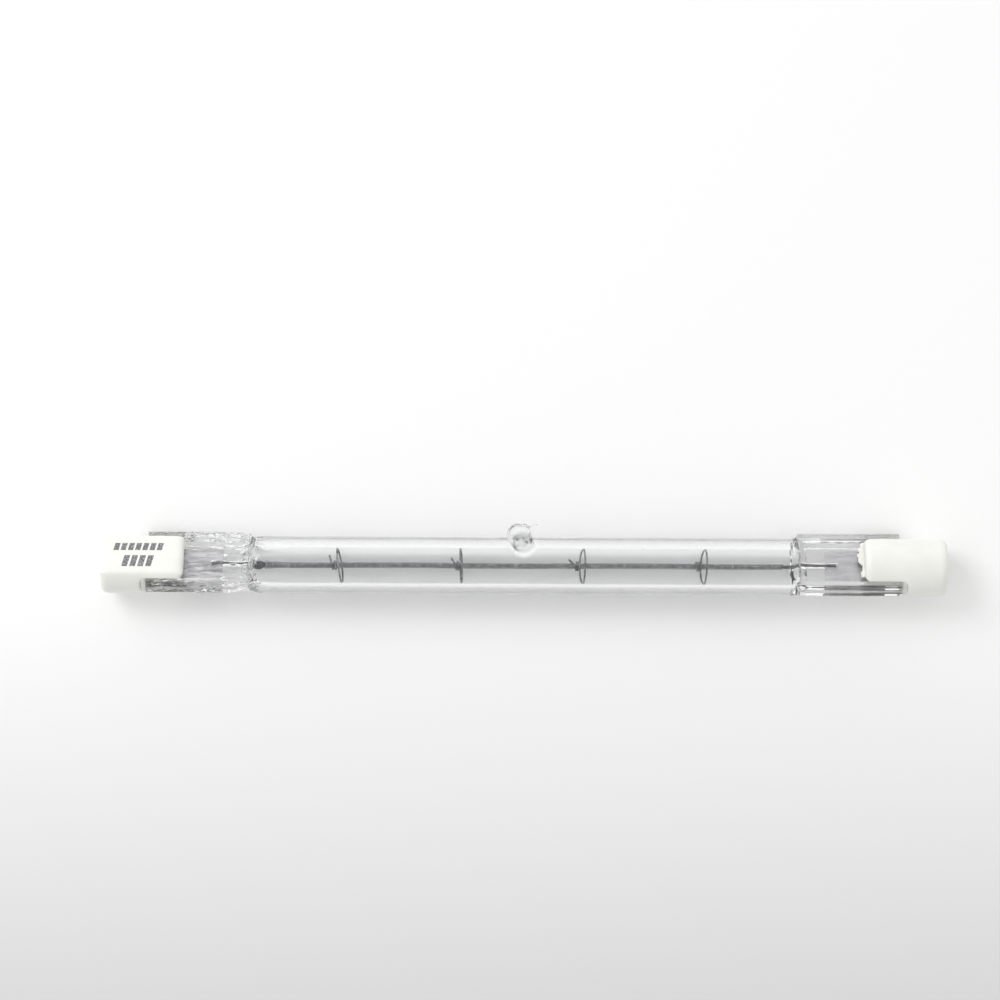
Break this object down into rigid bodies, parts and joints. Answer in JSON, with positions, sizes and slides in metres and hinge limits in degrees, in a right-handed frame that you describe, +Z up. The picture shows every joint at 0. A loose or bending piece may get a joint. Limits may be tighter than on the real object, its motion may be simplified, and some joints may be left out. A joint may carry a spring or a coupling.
{
  "type": "linear halogen bulb",
  "caption": "Double-ended linear halogen lamp: clear quartz tube with a coiled filament on ring supports, flat foil seals and white ceramic end caps with recessed contacts.",
  "frame": {"origin": "on the surface that the lamp lies on, straight below the middle of the tube", "axes": "+X along the lamp from the cap whose flat faces up to the cap whose flat faces down, +Z up, +Y to the side that the sealed-off stub leans to"},
  "size_m": [0.1176, 0.01, 0.0099],
  "materials": {
    "quartz": "polished",
    "filament_wire": "satin",
    "support_wire": "satin",
    "lead_wire": "satin",
    "seal_foil": "satin",
    "cap_ceramic": "matte",
    "cement": "matte",
    "contact_metal": "satin"
  },
  "bodies": {
    "root": {"quartz_envelope": "quartz", "filament_coil": "filament_wire", "filament_support_1": "support_wire", "filament_support_2": "support_wire", "filament_support_3": "support_wire", "filament_support_4": "support_wire", "inner_lead_left": "lead_wire", "inner_lead_right": "lead_wire", "seal_foil_left": "seal_foil", "seal_foil_right": "seal_foil", "outer_lead_left": "lead_wire", "outer_lead_right": "lead_wire", "ceramic_cap_left": "cap_ceramic", "ceramic_cap_right": "cap_ceramic", "cement_left": "cement", "cement_right": "cement", "contact_left": "contact_metal", "contact_right": "contact_metal"}
  },
  "joints": []
}
